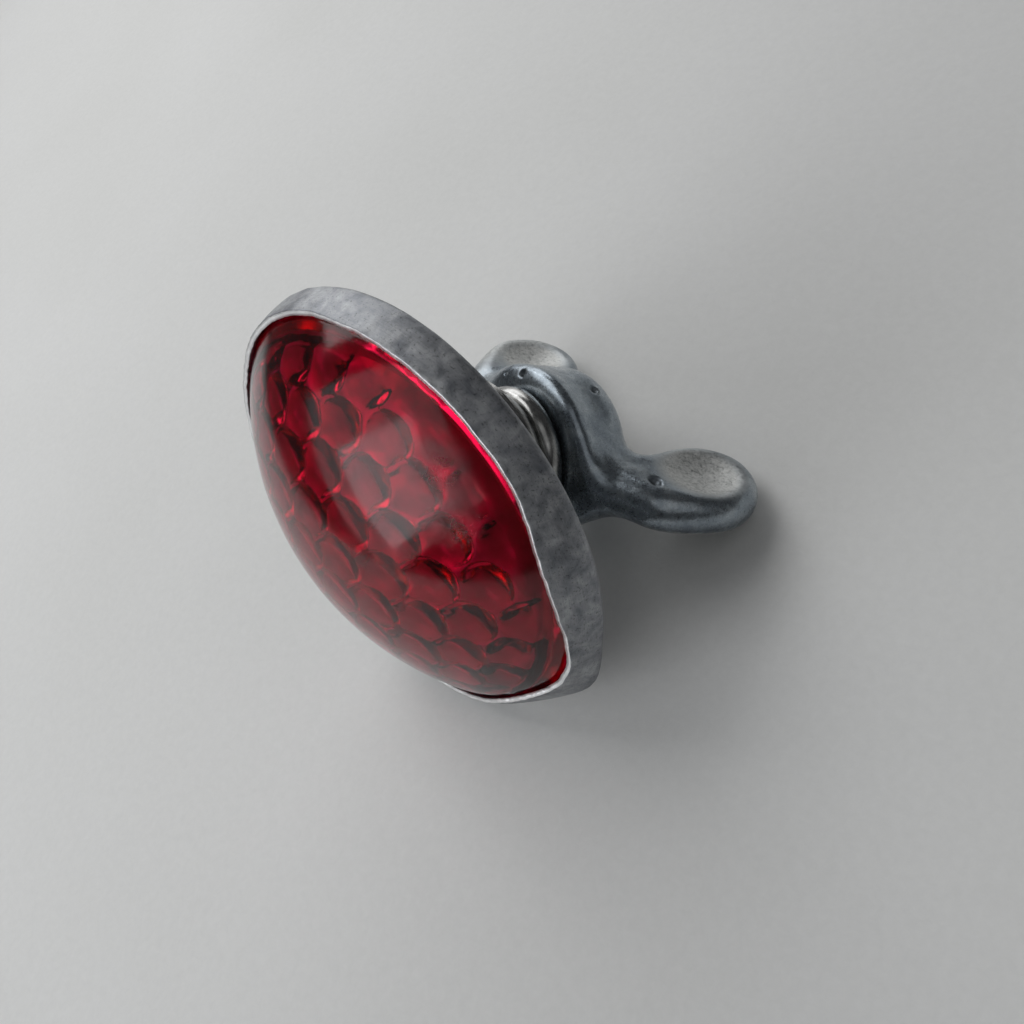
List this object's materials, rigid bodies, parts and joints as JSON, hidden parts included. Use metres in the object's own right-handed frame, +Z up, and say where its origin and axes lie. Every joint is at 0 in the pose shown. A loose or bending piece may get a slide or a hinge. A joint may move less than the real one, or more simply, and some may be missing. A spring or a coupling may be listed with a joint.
{
  "type": "bicycle rear reflector",
  "caption": "Domed red jewel reflector in a rolled aluminium rim, leaning on a square-necked threaded stud with spring washers and a wing nut, for clamping to a mudguard or bracket",
  "frame": {"origin": "centre of the clamp seat on the stud's axis, where the stud leaves the back shell", "axes": "+Y along the stud towards the wing nut, the lens on the -Y side; +Z up, with the head leaning 18.8 degrees about X so that the lens faces -Y and a little down; +X across"},
  "size_m": [0.044, 0.041, 0.0418],
  "materials": {
    "lens_red": "clear deep red, glossy, fine scuffs",
    "rim_aluminium": "dull, scratched",
    "foil_bright": "bright",
    "gasket_rubber": "matte",
    "shell_zinc": "dull zinc plate",
    "stud_steel": "dull zinc plate",
    "washer_steel": "bright plate, worn",
    "nut_zinc": "galvanised casting, pitted"
  },
  "bodies": {
    "root": {"lens": "lens_red", "bezel": "rim_aluminium", "reflector_foil": "foil_bright", "gasket_ring": "gasket_rubber", "back_shell": "shell_zinc", "stud_plate": "shell_zinc", "mounting_stud": "stud_steel"},
    "washers": {"flat_washer": "washer_steel", "spring_washer_inner": "washer_steel", "spring_washer_outer": "washer_steel"},
    "nut": {"wing_nut": "nut_zinc"}
  },
  "joints": [
    {"name": "nut_travel", "type": "slide", "parent": "root", "child": "washers", "axis": [0, 1, 0], "range_m": [0, 0.0092]},
    {"name": "nut_turn", "type": "hinge", "parent": "washers", "child": "nut", "pos_m": [0, 0, 0], "axis": [0, 1, 0], "range_deg": [0, 2650]}
  ],
  "couplings": [
    {"joint": "nut_turn", "follows": "nut_travel", "rad_per_m": 5026.5}
  ]
}
